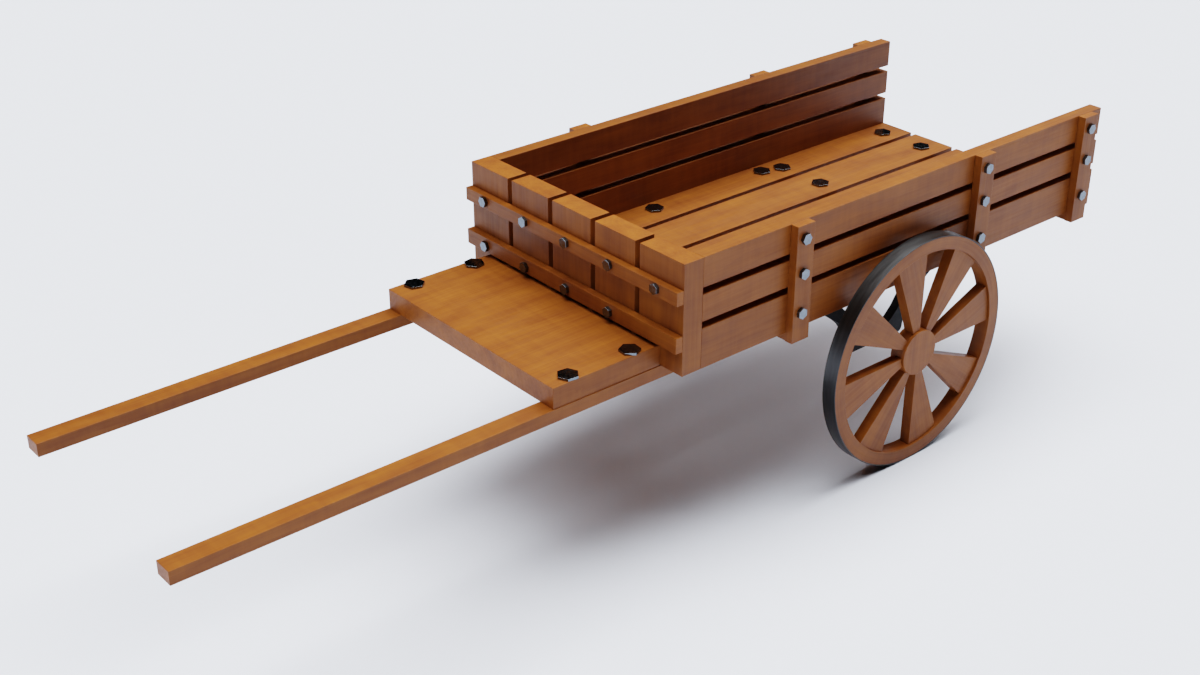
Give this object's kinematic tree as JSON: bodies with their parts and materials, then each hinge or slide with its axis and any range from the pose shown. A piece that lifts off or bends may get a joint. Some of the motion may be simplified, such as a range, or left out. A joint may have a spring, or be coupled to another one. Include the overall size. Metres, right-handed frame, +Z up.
{
  "type": "wooden hand cart",
  "caption": "Open slatted hand cart with straight pull shafts, a front platform, and spoked wooden wheels with iron tyres that turn on a through axle.",
  "frame": {"origin": "on the ground, under the middle of the whole cart's bounding box", "axes": "+Z up, -Y towards the shaft tips, the way the cart is pulled, +X towards the puller's left, along the axle"},
  "size_m": [0.918, 2.712, 0.749],
  "materials": {
    "board_wood": "satin oiled pine boards",
    "batten_wood": "satin oiled pine battens",
    "shaft_wood": "satin, worn by hands",
    "wheel_wood": "satin oiled hardwood",
    "black_iron": "blackened forged iron",
    "tyre_iron": "rolled iron band, worn smooth",
    "zinc_steel": "dull zinc-plated bolts and nuts"
  },
  "bodies": {
    "frame": {"headboard_plank_1": "board_wood", "headboard_plank_2": "board_wood", "headboard_plank_3": "board_wood", "headboard_plank_4": "board_wood", "headboard_plank_5": "board_wood", "headboard_batten_lower": "batten_wood", "headboard_batten_upper": "batten_wood", "floor_plank_1": "board_wood", "floor_plank_2": "board_wood", "floor_plank_3": "board_wood", "floor_plank_4": "board_wood", "floor_plank_5": "board_wood", "left_side_plank_bottom": "board_wood", "left_side_plank_middle": "board_wood", "left_side_plank_top": "board_wood", "right_side_plank_bottom": "board_wood", "right_side_plank_middle": "board_wood", "right_side_plank_top": "board_wood", "left_side_batten_front": "batten_wood", "left_side_batten_middle": "batten_wood", "left_side_batten_rear": "batten_wood", "right_side_batten_front": "batten_wood", "right_side_batten_middle": "batten_wood", "right_side_batten_rear": "batten_wood", "left_shaft": "shaft_wood", "right_shaft": "shaft_wood", "cross_beam_front": "batten_wood", "cross_beam_middle": "batten_wood", "cross_beam_rear": "batten_wood", "front_platform": "board_wood", "axle": "black_iron", "left_axle_bracket": "black_iron", "right_axle_bracket": "black_iron", "left_axle_nut": "zinc_steel", "right_axle_nut": "zinc_steel"},
    "left_wheel": {"left_wheel_tyre": "tyre_iron", "left_wheel_rim": "wheel_wood", "left_wheel_hub": "wheel_wood", "left_wheel_hub_cap": "wheel_wood", "left_wheel_spoke_1": "wheel_wood", "left_wheel_spoke_2": "wheel_wood", "left_wheel_spoke_3": "wheel_wood", "left_wheel_spoke_4": "wheel_wood", "left_wheel_spoke_5": "wheel_wood", "left_wheel_spoke_6": "wheel_wood", "left_wheel_spoke_7": "wheel_wood", "left_wheel_spoke_8": "wheel_wood"},
    "right_wheel": {"right_wheel_tyre": "tyre_iron", "right_wheel_rim": "wheel_wood", "right_wheel_hub": "wheel_wood", "right_wheel_hub_cap": "wheel_wood", "right_wheel_spoke_1": "wheel_wood", "right_wheel_spoke_2": "wheel_wood", "right_wheel_spoke_3": "wheel_wood", "right_wheel_spoke_4": "wheel_wood", "right_wheel_spoke_5": "wheel_wood", "right_wheel_spoke_6": "wheel_wood", "right_wheel_spoke_7": "wheel_wood", "right_wheel_spoke_8": "wheel_wood"}
  },
  "joints": [
    {"name": "left_wheel_spin", "type": "hinge", "parent": "frame", "child": "left_wheel", "pos_m": [0.439, 0.595, 0.307], "axis": [1, 0, 0], "continuous": true},
    {"name": "right_wheel_spin", "type": "hinge", "parent": "frame", "child": "right_wheel", "pos_m": [-0.439, 0.595, 0.307], "axis": [1, 0, 0], "continuous": true}
  ]
}
